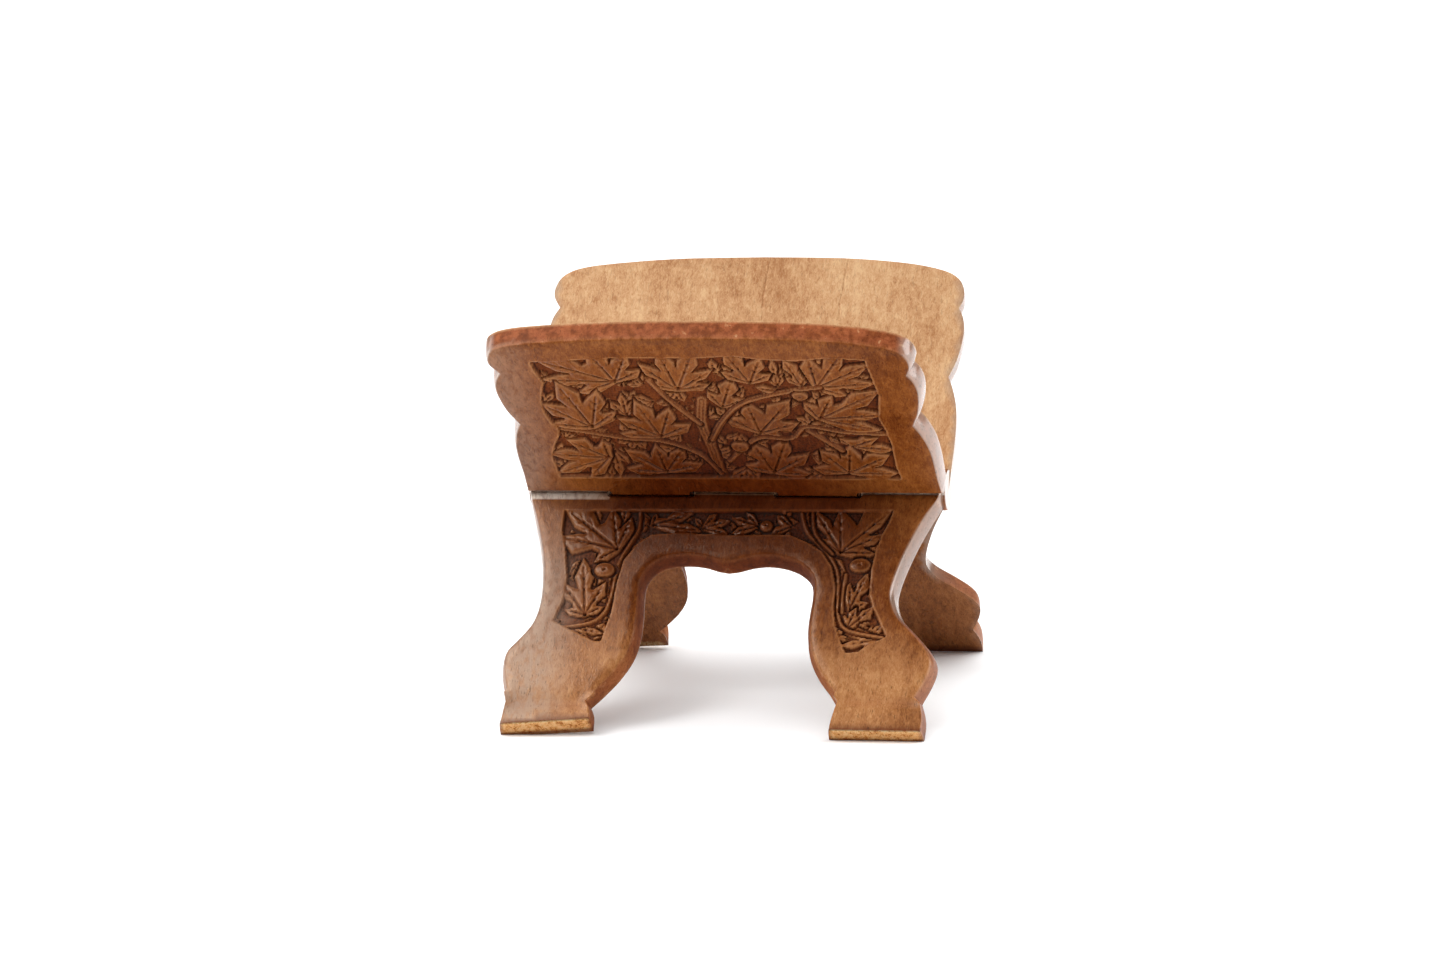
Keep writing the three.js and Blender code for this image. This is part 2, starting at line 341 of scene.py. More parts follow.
def pits(x, s, size, seed):
    """Distance to the nearest of many punched dots, about size millimetres apart."""
    i, j = np.floor(x / size), np.floor(s / size)
    best = np.full(x.shape, FAR)
    for di in (-1, 0, 1):
        for dj in (-1, 0, 1):
            px = jitter(i + di, lattice_hash(i + di, j + dj, seed)) * size
            ps = jitter(j + dj, lattice_hash(i + di, j + dj, seed + 5)) * size
            best = np.minimum(best, np.hypot(x - px, s - ps))
    return best


def curve(points, step):
    """Points along a smooth line through the given ones, about step millimetres apart."""
    points = np.array(points, float)
    out = [points[0]]
    for i in range(len(points) - 1):
        before, start = points[max(i - 1, 0)], points[i]
        end, after = points[i + 1], points[min(i + 2, len(points) - 1)]
        v0, v1 = (end - before) / 2, (after - start) / 2
        count = max(1, round(float(np.linalg.norm(end - start)) / step))
        for k in range(1, count + 1):
            t = k / count
            out.append((2 * start - 2 * end + v0 + v1) * t ** 3
                       + (3 * end - 3 * start - 2 * v0 - v1) * t ** 2 + v0 * t + start)
    return np.array(out)


def between(start, end, share):
    """The place a share of the way from start to end."""
    return start[0] + (end[0] - start[0]) * share, start[1] + (end[1] - start[1]) * share


def segment_distance(x, s, a, b):
    """Distance from each point to the line from a to b, and how far along it, 0 to 1."""
    d = np.array(b, float) - np.array(a, float)
    along = np.clip(((x - a[0]) * d[0] + (s - a[1]) * d[1]) / max(float(d @ d), 1e-9), 0, 1)
    return np.hypot(x - a[0] - along * d[0], s - a[1] - along * d[1]), along


def nearest(x, s, segments):
    """Distance from each point to the nearest of some segments."""
    best = np.full(x.shape, FAR)
    for a, b in segments:
        best = np.minimum(best, segment_distance(x, s, a, b)[0])
    return best


def inside(x, s, polygon):
    result = np.zeros(x.shape, bool)
    for (x0, s0), (x1, s1) in zip(polygon, np.roll(polygon, -1, axis=0)):
        if s0 == s1:
            continue
        crossing = (s0 > s) != (s1 > s)
        result ^= crossing & (x < (x1 - x0) * (s - s0) / (s1 - s0) + x0)
    return result


def depth_inside(x, s, polygon):
    """Signed distance to a polygon, positive inside."""
    polygon = np.array(polygon, float)
    best = nearest(x, s, zip(polygon, np.roll(polygon, -1, axis=0)))
    return np.where(inside(x, s, polygon), best, -best)


# --- carving ---

def lobe_spread(turns, number, near):
    """Half width of a lobe on the side of its neighbour near, as a share of its length."""
    if not 0 <= near < len(turns):
        return STALK_SPREAD
    half_angle = (turns[number] - turns[near] + math.pi) % math.tau / 2 - math.pi / 2
    return min(LOBE_SPREAD, abs(math.tan(half_angle)))


def leaf_outline(root, tips):
    """A broad leaf: a pointed lobe round each tip, with a narrow slit between each two."""
    root, tips = np.array(root, float), [np.array(tip, float) for tip in tips]
    veins = [tip - root for tip in tips]
    turns = [math.atan2(vein[1], vein[0]) for vein in veins]
    way = 1 if math.sin(turns[1] - turns[0]) > 0 else -1
    points = [root - LEAF_BASE * sum(veins) / len(veins)]
    for number, vein in enumerate(veins):
        across = np.array([-vein[1], vein[0]]) * way
        before = lobe_spread(turns, number, number - 1)
        after = lobe_spread(turns, number, number + 1)
        for along, out in LOBE_SHOULDERS:
            points.append(root + along * vein - out * before * across)
        points.append(root + LOBE_TIP * vein)
        for along, out in reversed(LOBE_SHOULDERS):
            points.append(root + along * vein + out * after * across)
        if number + 1 < len(tips):
            middle = (vein + veins[number + 1]) / 2
            length = (np.linalg.norm(vein) + np.linalg.norm(veins[number + 1])) / 2
            points.append(root + SLIT_END * length * middle / np.linalg.norm(middle))
    return points


def side_veins(root, tip):
    """The short veins that branch off both sides of a lobe's vein, as start and end."""
    length, heading = math.dist(root, tip), math.atan2(tip[1] - root[1], tip[0] - root[0])
    for side in (-1, 1):
        for share in SIDE_VEIN_STARTS:
            start = between(root, tip, share)
            turn = heading + side * SIDE_VEIN_TURN
            yield start, (start[0] + SIDE_VEIN_LENGTH * length * math.cos(turn),
                          start[1] + SIDE_VEIN_LENGTH * length * math.sin(turn))


def leaf_blade(x, s, edge, leaf, seed):
    """Height of a leaf's top: a little uneven, falling to its edge, with veins cut into it."""
    root, tips = leaf
    level = -0.22 - 0.25 * lattice_hash(np.array(seed), np.array(3), 1)
    blade = level - 0.55 * fade(edge, 2.4) + 0.06 * ripple(x, s, 2.3, seed)
    for tip in tips:
        off, along = segment_distance(x, s, root, between(root, tip, VEIN_END))
        blade -= VEIN_DEPTH * (1 - 0.55 * along) * fade(off, VEIN_WIDTH)
        for start, stop in side_veins(root, tip):
            off, along = segment_distance(x, s, start, stop)
            blade -= SIDE_VEIN_DEPTH * (1 - along) * fade(off, SIDE_VEIN_WIDTH)
    return blade


def carve_leaf(x, s, height, leaf, seed):
    """Stands one leaf up from the ground, with a deep cut round it."""
    root, tips = leaf
    reach_out = max(math.dist(root, tip) for tip in tips) * 1.2
    near = np.hypot(x - root[0], s - root[1]) < reach_out
    px, ps, low = x[near], s[near], height[near]
    edge = depth_inside(px, ps, leaf_outline(root, tips))
    raised = -GROUND + (leaf_blade(px, ps, edge, leaf, seed) + GROUND) * smooth((edge + 0.1) / WALL)
    low = np.where((edge > -CUT_WIDTH) & (edge < 0.1), np.minimum(low, -GROUND), low)
    height[near] = np.where(edge > -0.1, raised, low)


def carve_stem(x, s, height, route, width):
    """A round stem along a route, with a groove down each side of its crown."""
    line = curve(route, 3.0)
    off = nearest(x, s, zip(line[:-1], line[1:]))
    share = np.clip(off / (width / 2), 0, 1)
    crown = -0.75 - 0.9 * share ** 2 - 0.28 * (np.cos(off * 2 * math.pi / 1.7) < -0.2)
    wall = smooth((width / 2 + 0.3 - off) / WALL)
    raised = -GROUND + (crown + GROUND) * wall
    height[:] = np.where(off < width / 2 + 0.7, np.minimum(height, -GROUND * 0.8), height)
    height[:] = np.where(wall > 0, raised, height)


def carve_berry(x, s, height, berry):
    """A domed berry with a dimple in the middle."""
    cx, cs, rx, rs = berry
    r = np.hypot((x - cx) / rx, (s - cs) / rs)
    dome = -0.3 - 0.8 * np.clip(r, 0, 1) ** 2 - 0.9 * fade(r, 0.22)
    wall = smooth((1.0 - r) * rs / WALL)
    height[:] = np.where(r < 1.25, -GROUND + (dome + GROUND) * wall, height)


def undergrowth(field, seed):
    """Small three-lobed leaves that fill the field between the large ones."""
    corners = np.array(field)
    low, high = corners.min(0), corners.max(0)
    for i in range(int((high[0] - low[0]) / LEAFLET_PITCH)):
        for j in range(int((high[1] - low[1]) / LEAFLET_PITCH)):
            draw = [float(lattice_hash(np.array(i), np.array(j), seed + k)) for k in range(4)]
            root = (low[0] + jitter(i, draw[0]) * LEAFLET_PITCH,
                    low[1] + jitter(j, draw[1]) * LEAFLET_PITCH)
            length, heading = 7 + 3.5 * draw[2], math.tau * draw[3]
            tips = [(root[0] + length * math.cos(heading + turn),
                     root[1] + length * math.sin(heading + turn)) for turn in LEAFLET_TURNS]
            yield root, tips


def relief(x, s, field, leaves, stems, berries, seed):
    """Height of the carved face against the plain one, in millimetres, at each point."""
    height = np.zeros(x.shape)
    into = depth_inside(x, s, field)
    active = into > -1.0
    ax, as_ = x[active], s[active]
    dots = pits(ax, as_, PIT_PITCH, seed)
    ground = -GROUND + 0.18 * ripple(ax, as_, 6.0, seed) - PIT_DEPTH * fade(dots, PIT_RADIUS)
    for leaf in undergrowth(field, seed):
        carve_leaf(ax, as_, ground, leaf, seed)
    for number, leaf in enumerate(leaves):
        carve_leaf(ax, as_, ground, leaf, seed + number)
    for route, width in stems:
        carve_stem(ax, as_, ground, route, width)
    for berry in berries:
        carve_berry(ax, as_, ground, berry)
    height[active] = ground * smooth((into[active] + 0.1) / 0.7)
    return height


# --- plank halves ---

def outline(right, left):
    """The closed outline, from the right end of the hinge line round to the left end."""
    stretches = list(right) + [list(reversed(stretch)) for stretch in reversed(left)]
    points = []
    for stretch in stretches:
        line = curve(stretch, OUTLINE_STEP)
        clear = np.minimum(np.linalg.norm(line - line[0], axis=1),
                           np.linalg.norm(line - line[-1], axis=1)) > CORNER_CLEAR
        clear[0] = True
        points.extend(line[clear])
    points.append(np.array(stretches[-1][-1], float))
    hinge = np.linspace(-HALF_WIDTH, HALF_WIDTH, HINGE_LINE_POINTS)[1:-1]
    points.extend(np.column_stack([hinge, np.zeros(len(hinge))]))
    return np.array(points)


def unit(rows):
    return rows / np.linalg.norm(rows, axis=1)[:, None]


def inward(points):
    """Where each outline point goes when the outline shrinks by one millimetre."""
    before, after = np.roll(points, 1, axis=0), np.roll(points, -1, axis=0)
    area = np.sum(points[:, 0] * after[:, 1] - after[:, 0] * points[:, 1])
    turn = 1 if area > 0 else -1
    arriving, leaving = unit(points - before), unit(after - points)
    normal = np.column_stack([-arriving[:, 1], arriving[:, 0]]) * turn
    total = unit(normal + np.column_stack([-leaving[:, 1], leaving[:, 0]]) * turn)
    total /= np.clip(np.sum(total * normal, axis=1), SHARPEST_COSINE, 1)[:, None]
    on_hinge = np.abs(points[:, 1]) < 1e-6
    total[on_hinge] = 0
    corner = on_hinge & (np.abs(points[:, 0]) > HALF_WIDTH - 0.01)
    total[corner, 0] = -np.sign(points[corner, 0])
    return total


def slope_width(points, rest_slope):
    """How far the outer face stands back from the outline: the sloped, rounded sides."""
    s = points[:, 1]
    width = np.where(s > 0, rest_slope, LEG_SLOPE)
    width = np.where(s < TOE_TOP, TOE_SLOPE, width)
    return HINGE_SLOPE + (width - HINGE_SLOPE) * smooth(np.abs(s) / 26)


def foot_line(x):
    """Where the legs end; the left one is cut a little askew."""
    corner, width, askew = LEFT_FOOT
    return np.where(x > 0, -FOOT_END, -FOOT_END + askew * (x - corner) / width)


def foot_bevel(points):
    """How far the outer edge of a foot's end stands up from the inner edge."""
    x, s = points.T
    bevel = np.where(x > 0, *FOOT_BEVELS)
    return bevel * np.clip(1 - (s - foot_line(x)) / BEVEL_LENGTH, 0, 1) * (s < -120)


def near_cells(x, s, cells, origin, margin):
    """True where a point lies in a fine cell, or within margin cells of one."""
    grown = cells.copy()
    for _ in range(margin):
        wide = np.pad(grown, 1)
        grown = (wide[:-2, 1:-1] | wide[2:, 1:-1] | wide[1:-1, :-2] | wide[1:-1, 2:]
                 | grown)
    i = np.floor((x - origin[0]) / FINE).astype(int)
    j = np.floor((s - origin[1]) / FINE).astype(int)
    ok = (i >= 0) & (j >= 0) & (i < cells.shape[0]) & (j < cells.shape[1])
    result = np.zeros(x.shape, bool)
    result[ok] = grown[i[ok], j[ok]]
    return result


def fine_cells(loop, zone):
    """The fine cells inside a loop where zone(x, s) is true, clear of the loop itself."""
    if zone is None:
        return np.zeros((0, 0), bool), (0.0, 0.0)
    low, high = loop.min(0), loop.max(0)
    origin = (float(low[0]), float(low[1]))
    ni, nj = (int((high[k] - low[k]) / FINE) for k in (0, 1))
    x, s = np.meshgrid(low[0] + (np.arange(ni) + 0.5) * FINE,
                       low[1] + (np.arange(nj) + 0.5) * FINE, indexing="ij")
    cells = zone(x, s)
    where = np.nonzero(cells)
    cells[where] = depth_inside(x[where], s[where], loop[::2]) > LOOP_CLEAR
    return cells, origin


def fine_squares(cells, origin, first):
    """Corners, numbered from first, and squares of the fine cells, and the edges round them."""
    ni, nj = cells.shape
    used = np.zeros((ni + 1, nj + 1), bool)
    for di in (0, 1):
        for dj in (0, 1):
            used[di:ni + di, dj:nj + dj] |= cells
    index = -np.ones(used.shape, int)
    index[used] = np.arange(used.sum()) + first
    ii, jj = np.nonzero(used)
    corners = list(zip(origin[0] + ii * FINE, origin[1] + jj * FINE))
    ci, cj = np.nonzero(cells)
    squares = np.column_stack([index[ci, cj], index[ci + 1, cj], index[ci + 1, cj + 1],
                               index[ci, cj + 1]]).tolist()
    edges = []
    padded = np.pad(cells, 1)
    for di, dj, a, b in CELL_SIDES:
        ri, rj = np.nonzero(cells & ~padded[1 + di:ni + 1 + di, 1 + dj:nj + 1 + dj])
        edges += list(zip(index[ri + a[0], rj + a[1]].tolist(),
                          index[ri + b[0], rj + b[1]].tolist()))
    return corners, squares, edges


def coarse_points(loop, cells, origin):
    """Staggered points across a loop, clear of its edge and of the fine cells."""
    low, high = loop.min(0), loop.max(0)
    x, s = np.meshgrid(np.arange(low[0], high[0], COARSE), np.arange(low[1], high[1], COARSE))
    x = x + np.where(np.arange(x.shape[0]) % 2, COARSE / 2, 0)[:, None]
    x, s = x.ravel(), s.ravel()
    keep = depth_inside(x, s, loop[::2]) > COARSE * 0.45
    keep &= ~near_cells(x, s, cells, origin, 2)
    return list(zip(x[keep], s[keep]))


def triangulate(points, edges, first_free):
    """Triangles over the points on the edges and those from first_free on, held to the edges."""
    ids = sorted({i for edge in edges for i in edge}) + list(range(first_free, len(points)))
    place = {old: new for new, old in enumerate(ids)}
    made = delaunay_2d_cdt([Vector(points[i]) for i in ids],
                           [(place[a], place[b]) for a, b in edges], [], 0, 1e-6)
    faces, origins = made[2], [ids[origin[0]] for origin in made[3]]
    return [tuple(origins[v] for v in face) for face in faces]


def fill(loop, cells, origin):
    """Fills a loop with fine squares where the cells are and coarse triangles elsewhere."""
    corners, squares, cell_edges = fine_squares(cells, origin, len(loop))
    points = [tuple(point) for point in loop] + corners
    edges = [(i, (i + 1) % len(loop)) for i in range(len(loop))] + cell_edges
    first_free = len(points)
    points += coarse_points(loop, cells, origin)
    triangles = triangulate(points, edges, first_free)
    table = np.array(points)
    x, s = table[np.array(triangles)].mean(axis=1).T
    good = inside(x, s, loop) & ~near_cells(x, s, cells, origin, 0)
    return table, [face for face, keep in zip(triangles, good) if keep] + squares


def side_rings(points, rest_slope):
    """The sides of a half, as the outline at each step from the inner face to the outer."""
    direction, width = inward(points), slope_width(points, rest_slope)
    bevel = foot_bevel(points)
    direction[bevel > 0, 1] = 0
    rings = []
    for share, inset in PROFILE:
        flat = points + direction * (width * inset)[:, None]
        flat[:, 1] += bevel * share
        dent = 0.10 * ripple(points[:, 0] * 0.9 + share * 7, points[:, 1] * 0.9, 5.0, 3)
        rings.append(flat + direction * (dent * math.sin(math.pi * share))[:, None])
    return rings


def tube_faces(rings, count):
    """Quads between neighbouring rings of count points each."""
    faces = []
    for low in range(0, (rings - 1) * count, count):
        for i in range(count):
            j = (i + 1) % count
            faces.append((low + i, low + j, low + count + j, low + count + i))
    return faces


def plank_half(points, rest_slope, inner_face, outer_face):
    """A closed half of the plank. Each face comes as its height function and its fine zone."""
    rings = side_rings(points, rest_slope)
    count, last = len(points), len(rings) - 1
    verts = [np.column_stack([flat[:, 0], np.full(count, BACK + (FACE - BACK) * share), flat[:, 1]])
             for flat, (share, _) in zip(rings, PROFILE)]
    faces = tube_faces(len(rings), count)
    total = count * len(rings)
    for ring, level, way, face in ((0, BACK, -1, inner_face), (last, FACE, 1, outer_face)):
        height, zone = face
        cells, origin = fine_cells(rings[ring], zone)
        table, filling = fill(rings[ring], cells, origin)
        free = table[count:]
        n = level + way * height(free[:, 0], free[:, 1])
        verts.append(np.column_stack([free[:, 0], n, free[:, 1]]))
        first, offset = ring * count, total - count
        faces += [tuple(first + v if v < count else offset + v for v in corners)
                  for corners in filling]
        total += len(free)
    return np.vstack(verts), faces


def new_object(name, data):
    made = bpy.data.objects.new(name, data)
    bpy.context.scene.collection.objects.link(made)
    return made


def mesh_object(name, verts, faces):
    mesh = bpy.data.meshes.new(name)
    mesh.from_pydata(verts.tolist(), [], faces)
    work = bmesh.new()
    work.from_mesh(mesh)
    loose = [v for v in work.verts if not v.link_faces]
    bmesh.ops.delete(work, geom=loose, context="VERTS")
    bmesh.ops.recalc_face_normals(work, faces=work.faces)
    work.to_mesh(mesh)
    work.free()
    return new_object(name, mesh)


def mesh_data(piece):
    """The vertices and faces of a piece, which is then removed."""
    verts = np.array([v.co for v in piece.data.vertices])
    faces = [tuple(p.vertices) for p in piece.data.polygons]
    bpy.data.objects.remove(piece)
    return verts, faces


# --- hinge ---

def circle(radius, facets):
    turns = [2 * math.pi * k / facets for k in range(facets)]
    return [(radius * math.cos(turn), radius * math.sin(turn)) for turn in turns]


def tube(rings):
    """A closed body through rings of as many points each."""
    count, total = len(rings[0]), len(rings[0]) * len(rings)
    caps = [tuple(range(count)), tuple(range(total - count, total))]
    return np.array([point for ring in rings for point in ring]), tube_faces(len(rings), count) + caps


def bar(radius, low, high, chamfer=0.0):
    """A round bar on the hinge axis, with its ends eased by chamfer."""
    stations = [(low, radius - chamfer), (low + chamfer, radius), (high - chamfer, radius),
                (high, radius - chamfer)]
    if chamfer == 0:
        stations = [(low, radius), (high, radius)]
    return tube([[(x, y, z) for y, z in circle(r, BAR_FACETS)] for x, r in stations])


def pin_hole(x):
    """A drill through the whole stand at x, across the hinge."""
    return tube([[(x + dx, y, z) for dx, z in circle(START_HOLE_RADIUS, HOLE_FACETS)]
                 for y in (-FAR, FAR)])


def block(x, y, z):
    """A box between the two ends given for each axis."""
    verts = [(a, b, c) for a in x for b in y for c in z]
    faces = [(0, 1, 3, 2), (4, 6, 7, 5), (0, 4, 5, 1), (2, 3, 7, 6), (0, 2, 6, 4), (1, 5, 7, 3)]
    return np.array(verts, float), faces


def span(index, gap):
    """The ends of a knuckle in x, grown by gap at its inner ends, or shrunk when it is negative.
    A grown one is a cutter, so it also passes the ends of the hinge."""
    low = -HALF_WIDTH + index * PITCH
    high = low + PITCH
    past_end = END_CLEARANCE if gap > 0 else 0.0
    low -= past_end if index == 0 else gap
    high += past_end if index == KNUCKLES - 1 else gap
    return low, high


def combine(piece, tools, operation):
    """Adds or cuts tool meshes, one after another, and leaves the result in piece."""
    for number, (verts, faces) in enumerate(tools):
        tool = mesh_object(f"tool_{number}", verts, faces)
        step = piece.modifiers.new("step", "BOOLEAN")
        step.operation = operation
        step.solver = "MANIFOLD"
        step.object = tool
        bpy.context.view_layer.update()
        result = bpy.data.meshes.new_from_object(
            piece.evaluated_get(bpy.context.evaluated_depsgraph_get()))
        piece.modifiers.clear()
        piece.data = result
        bpy.data.objects.remove(tool)
    return piece


def seam_cuts(first, side):
    """What is cut off the book rest (side 1) or the legs (side -1) to form the seam: the mitred
    edge of every knuckle, and a hollow round each knuckle of the other leaf."""
    cuts = []
    for index in range(KNUCKLES):
        own = index % 2 == first
        edge = (-SEAM_STEP if own else SEAM_STEP) + STOP_GAP / 2
        low, high = span(index, SEAM_OVERCUT if own else SIDE_GAP / 2)
        depth = (-CUT_REACH, edge) if side > 0 else (-edge, CUT_REACH)
        cuts.append(block((low, high), (-CUT_REACH, CUT_REACH), depth))
        if not own:
            cuts.append(bar(FACE + ROUND_GAP, low, high))
    return cuts


def start_holes():
    """The drills for the start holes, which stop short of the knuckles."""
    core = bar(FACE + ROUND_GAP, -FAR, FAR)
    drills = []
    for index in range(1, KNUCKLES):
        drill = mesh_object("drill", *pin_hole(-HALF_WIDTH + index * PITCH))
        drills.append(mesh_data(combine(drill, [core], "DIFFERENCE")))
    return drills


def swing(verts, angle):
    """Turns plank coordinates about the hinge axis."""
    c, d = math.cos(angle), math.sin(angle)
    x, y, z = verts.T
    return np.column_stack([x, y * c - z * d, y * d + z * c])


# --- leaves of the stand ---

def knuckle_at(x):
    """Which knuckle, counted from the left, a point is level with."""
    return np.clip(np.floor((x + HALF_WIDTH) / PITCH), 0, KNUCKLES - 1)


def seam_rounding(x, s, first, easing):
    """Eases an outer face down to its mitred edge, further on the leaf's own knuckles."""
    own = knuckle_at(x) % 2 == first
    past = np.abs(s) - (SEAM - np.where(own, 1, -1) * STEP_ON_FACE)
    deep, long = (np.where(own, *pair) for pair in zip(easing, NEIGHBOUR_EASING))
    u = np.clip(1 - past / long, 0, 1)
    return -deep * (1 - np.sqrt(np.clip(1 - u * u, 0, 1)))


def ankle(x, s):
    """The hollow cut across a leg just above its toe."""
    line = np.where(x > 0, *ANKLE_LINES)
    above, below = (np.exp(-((s - line) / width) ** 2) for width in ANKLE_WIDTHS)
    return -ANKLE_DEPTH * np.where(s > line, above, below)


def rest_face(first, seed):
    """Height and fine zone of the carved face of a book rest."""
    def height(x, s):
        carved = relief(x, s, REST_FIELD, REST_LEAVES, REST_STEMS, REST_BERRIES, seed)
        return carved + planed(x, s, 14.0, seed) + seam_rounding(x, s, first, REST_EASING)

    def zone(x, s):
        return (depth_inside(x, s, REST_FIELD) > -FIELD_MARGIN) | (s < SEAM + 5)

    return height, zone


def leg_face(first, seed):
    """Height and fine zone of the carved face of the legs."""
    def height(x, s):
        carved = relief(x, s, LEG_FIELD, LEG_LEAVES, LEG_STEMS, LEG_BERRIES, seed + 3)
        plain = planed(x, s, 14.0, seed + 1)
        return carved + plain + ankle(x, s) + seam_rounding(x, s, first, LEG_EASING)

    def zone(x, s):
        return (depth_inside(x, s, LEG_FIELD) > -FIELD_MARGIN) | (s > -SEAM - 6)

    return height, zone


def plain_face(cracks, seed):
    """Height and fine zone of an uncarved inner face, with its drying cracks if it has any."""
    segments = [segment for route in cracks for segment in zip(route[:-1], route[1:])]

    def height(x, s):
        worn = planed(x, s, 11.0, seed)
        for a, b in segments:
            worn = worn - CRACK_DEPTH * fade(segment_distance(x, s, a, b)[0], CRACK_WIDTH)
        return worn

    def zone(x, s):
        return nearest(x, s, segments) < 1.6

    return height, zone if cracks else None


def half_object(name, half, side, opening):
    """One half of a leaf, on its side of the saw cut and swung open."""
    verts, faces = half
    return mesh_object(name, swing(verts * np.array([1, side, 1]), opening), faces)


def leaf_of_stand(name, front, first):
    """One leaf: its book rest is on the side front (-1 or 1) and its legs are on the other, and
    it owns every second knuckle from first on."""
    seed = FRONT_SEED if front < 0 else REAR_SEED
    slope = FRONT_REST_SLOPE if front < 0 else REAR_REST_SLOPE
    cracks = CRACKS if front > 0 else []
    opening = -front * HALF_OPENING
    rest = plank_half(outline(REST_RIGHT, REST_LEFT), slope,
                      plain_face(cracks, seed + 2), rest_face(first, seed))
    legs = plank_half(outline(RIGHT_LEG, LEFT_LEG), slope,
                      plain_face([], seed + 4), leg_face(first, seed))
    leaf = half_object(name, rest, front, opening)
    leg_half = half_object(name + "_legs", legs, -front, opening)
    combine(leaf, seam_cuts(first, 1), "DIFFERENCE")
    combine(leg_half, seam_cuts(first, -1), "DIFFERENCE")
    knuckles = [bar(FACE, *span(index, -SIDE_GAP / 2), chamfer=KNUCKLE_CHAMFER)
                for index in range(first, KNUCKLES, 2)]
    combine(leaf, [mesh_data(leg_half)] + knuckles, "UNION")
    combine(leaf, start_holes(), "DIFFERENCE")
    combine(leaf, [block((-FAR, FAR), (-FAR, FAR), (-FAR, -HINGE[2]))], "DIFFERENCE")
    leaf.data.name = name
    finish_mesh(leaf, opening, first)
    return leaf


# --- what the wood needs to know at each vertex ---

def spread(values, ends, rounds):
    """Averages a value at each vertex with its neighbours along the edges, a few times."""
    a, b = ends
    count = len(values)
    degree = np.bincount(a, minlength=count) + np.bincount(b, minlength=count)
    for _ in range(rounds):
        total = np.bincount(a, values[b], count) + np.bincount(b, values[a], count)
        values = total / np.maximum(degree, 1)
    return values


def seam_wear(x, s, n, outward, first):
    """Pale rubbed bands on the top of the legs, at this board's own knuckles."""
    column = knuckle_at(x)
    band = np.select([column == index for index in RUBBED_BANDS], list(RUBBED_BANDS.values()), 0.0)
    band = np.where(column % 2 == first, band, 0)
    past = -s - SEAM + STEP_ON_FACE
    on_face = (s < 0) & (past > -1.0) & (outward > 0.25) & (n > 7.4) & (band > 0)
    return smooth((band - past) / 0.7) * on_face


def carving_masks(s, n, outward, hollow, carved):
    """The cuts and the carved ground, darkened for the dark varnish held there and for painted shade,
    and the ridges between them, paled for rubbing and for a painted highlight.
    """
    return {
        # dark varnish and painted shade where a point lies below its neighbours
        "crevice": smooth((hollow - 0.06) / 0.26) * carved,
        # rubbed wear and a painted highlight on the ridges
        "rim": smooth((-hollow - 0.05) / 0.20) * carved,
        "recess": smooth((FACE - n - 0.55) / 1.5) * (outward > 0.0) * (np.abs(s) > SEAM + 3),
    }


def foot_masks(x, s, n, outward, foot_end):
    """The lower legs, painted lighter towards the feet where more light falls, the raw ends of the
    feet and the dark line round each end.
    """
    near_end = s < foot_line(x) + 3.6
    return {
        # painted light: paler from the knees down to the feet
        "lower_leg_light": smooth((-s - 66) / 48) * (outward > -0.3),
        "end_grain": foot_end,
        "toe_rim": near_end * np.maximum(smooth((n - 8.2) / 1.2), smooth((4.2 - n) / 2.2)),
    }


def side_masks(x, s, outward, sideways, carved):
    """The rubbed edges, and the outer sides of the plank, which get a gloss coat and a pale painted
    sheen.
    """
    across = np.abs(x)
    off_seam = (np.abs(s) > SEAM + 1) | (across > 95)
    flank = (x * sideways > 0) & (np.abs(outward) < 0.85) & ~carved & off_seam
    share = np.where(s > 0, 1.0, np.where(across > 60, 0.6, 0.35))
    return {
        "edge": smooth((0.8 - np.abs(outward)) / 0.35) * (np.abs(s) > SEAM + 1.5) * share,
        # gloss coat and painted sheen on the outer sides of the plank
        "glaze_and_painted_sheen": (smooth((np.abs(sideways) - 0.45) / 0.25) * flank
                  * (0.25 + 0.75 * smooth((s + 82) / 20))),
    }


def broad_masks(x, s, outward, foot_end):
    """The plain inner faces, the painted shade in the fold of the stand and the painted sheen on the
    left side.
    """
    across = np.abs(x)
    valley = np.where(s > 0, smooth(1 - (s - 8) / 95) * smooth((84 - across) / 52),
                      smooth(1 + (s + 14) / 72) * smooth((94 - across) / 45))
    # painted sheen on the left leg and the left of the book rest, greyed pale as if lit from the left
    left_leg = smooth((-x - 62) / 26) * smooth((-s - 12) / 60)
    left_side = np.where(s < 0, left_leg, 0.45 * smooth((-x - 74) / 26))
    return {
        # The inner faces of the legs keep most of the dark varnish: painted shade, as they lie in the
        # shade under the stand. The inner faces of the book rests are bare wood.
        "inner": smooth((-outward - 0.4) / 0.3) * np.where(s > 0, 1.0, 0.1),
        "valley": valley * (outward > -0.2),
        "painted_left_sheen": (outward > 0.3) * (1 - foot_end) * left_side,
    }


def masks(plank, normals, ends, first):
    """All masks of a leaf by name, from its vertices and normals on the flat plank."""
    x, s, n = plank[:, 0], plank[:, 2], np.abs(plank[:, 1])
    outward = np.sign(plank[:, 1]) * normals[:, 1]
    hollow = spread(n, ends, 4) - n
    carved = np.where(s > 0, depth_inside(x, s, REST_FIELD), depth_inside(x, s, LEG_FIELD)) > -1.5
    foot_end = smooth((-normals[:, 2] - 0.6) / 0.2) * (s < -124)
    return {
        **carving_masks(s, n, outward, hollow, carved & (outward > 0.0)),
        **foot_masks(x, s, n, outward, foot_end),
        **side_masks(x, s, outward, normals[:, 0], carved),
        **broad_masks(x, s, outward, foot_end),
        "rubbed_seam": seam_wear(x, s, n, outward, first),
    }


def vectors(items, key):
    """One vector for each item of a mesh collection, as rows."""
    flat = np.empty(len(items) * 3)
    items.foreach_get(key, flat)
    return flat.reshape(-1, 3)


